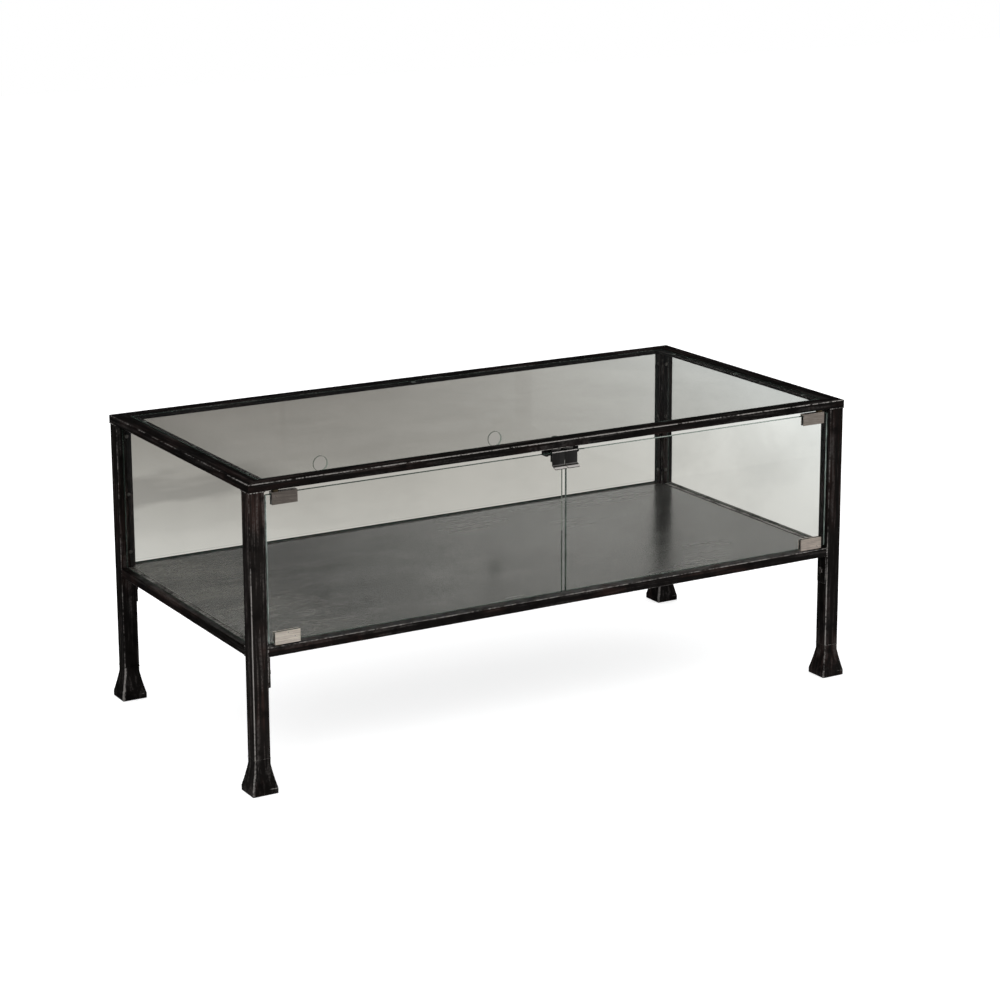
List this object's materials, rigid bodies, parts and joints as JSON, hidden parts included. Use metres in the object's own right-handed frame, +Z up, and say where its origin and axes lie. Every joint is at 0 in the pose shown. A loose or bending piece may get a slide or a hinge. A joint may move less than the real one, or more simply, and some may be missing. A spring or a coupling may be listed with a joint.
{
  "type": "display table",
  "caption": "Low rectangular display table with a glass case under a flush glass top, hinged glass doors at the front, a metal shelf floor and square legs on flared bell feet.",
  "frame": {"origin": "middle of the table's footprint, on the floor", "axes": "+X along the table's length to the right of someone facing the doors, +Y towards the back pane, +Z up"},
  "size_m": [1.0794, 0.5334, 0.4699],
  "materials": {
    "top_frame_steel": "blackened steel, rubbed bright along the arrises",
    "leg_steel": "blackened steel, rubbed bright along the arrises",
    "foot_steel": "blackened cast bell foot, rubbed bright",
    "lower_frame_steel": "blackened steel, rubbed bright along the arrises",
    "stop_steel": "blackened steel strip",
    "inner_steel": "blackened steel, hidden",
    "top_glass": "clear float glass, green at the edge",
    "pane_glass": "clear float glass, green at the edge",
    "door_glass": "clear float glass, green at the edge",
    "shelf_sheet": "dark clouded sheet steel, half gloss",
    "clear_bumper": "clear soft bumper",
    "glide_plastic": "black glide",
    "hinge_nickel": "satin nickel",
    "liner_rubber": "black rubber",
    "fastener_steel": "plain steel",
    "strike_steel": "plated sheet steel",
    "bushing_brass": "plain brass",
    "catch_plastic": "black",
    "magnet_steel": "plated",
    "screw_black": "blackened screw heads"
  },
  "bodies": {
    "case": {"back_pane": "pane_glass", "back_stop_left": "stop_steel", "back_stop_right": "stop_steel", "catch_body": "catch_plastic", "catch_magnets": "magnet_steel", "catch_screws": "fastener_steel", "foot_back_left": "foot_steel", "foot_back_right": "foot_steel", "foot_front_left": "foot_steel", "foot_front_right": "foot_steel", "foot_glides": "glide_plastic", "frame_spigots": "inner_steel", "glass_bumpers": "clear_bumper", "glass_ledge_left": "inner_steel", "glass_ledge_right": "inner_steel", "glass_tabs": "inner_steel", "hinge_bushings": "bushing_brass", "left_pane": "pane_glass", "leg_back_left": "leg_steel", "leg_back_right": "leg_steel", "leg_front_left": "leg_steel", "leg_front_right": "leg_steel", "leg_tab_back_left": "lower_frame_steel", "leg_tab_back_right": "lower_frame_steel", "leg_tab_front_left": "lower_frame_steel", "leg_tab_front_right": "lower_frame_steel", "lower_back_rail": "lower_frame_steel", "lower_front_rail": "lower_frame_steel", "lower_left_rail": "lower_frame_steel", "lower_right_rail": "lower_frame_steel", "right_pane": "pane_glass", "rivet_nuts": "fastener_steel", "shelf_ledges": "lower_frame_steel", "shelf_panel": "shelf_sheet", "side_stop_back_left": "stop_steel", "side_stop_back_right": "stop_steel", "side_stop_front_left": "stop_steel", "side_stop_front_right": "stop_steel", "stop_screws": "screw_black", "tab_bolts": "fastener_steel", "top_back_rail": "top_frame_steel", "top_front_rail": "top_frame_steel", "top_glass": "top_glass", "top_left_rail": "top_frame_steel", "top_right_rail": "top_frame_steel"},
    "left_door": {"left_door_glass": "door_glass", "left_top_hinge_clamp": "hinge_nickel", "left_bottom_hinge_clamp": "hinge_nickel", "left_hinge_liners": "liner_rubber", "left_hinge_screws": "fastener_steel", "left_hinge_pins": "fastener_steel", "left_strike_clip": "strike_steel"},
    "right_door": {"right_door_glass": "door_glass", "right_top_hinge_clamp": "hinge_nickel", "right_bottom_hinge_clamp": "hinge_nickel", "right_hinge_liners": "liner_rubber", "right_hinge_screws": "fastener_steel", "right_hinge_pins": "fastener_steel", "right_strike_clip": "strike_steel"}
  },
  "joints": [
    {"name": "left_door_hinge", "type": "hinge", "parent": "case", "child": "left_door", "pos_m": [-0.4872, -0.2524, 0.33875], "axis": [0, 0, -1], "range_deg": [0, 135]},
    {"name": "right_door_hinge", "type": "hinge", "parent": "case", "child": "right_door", "pos_m": [0.4872, -0.2524, 0.33875], "axis": [0, 0, 1], "range_deg": [0, 135]}
  ]
}
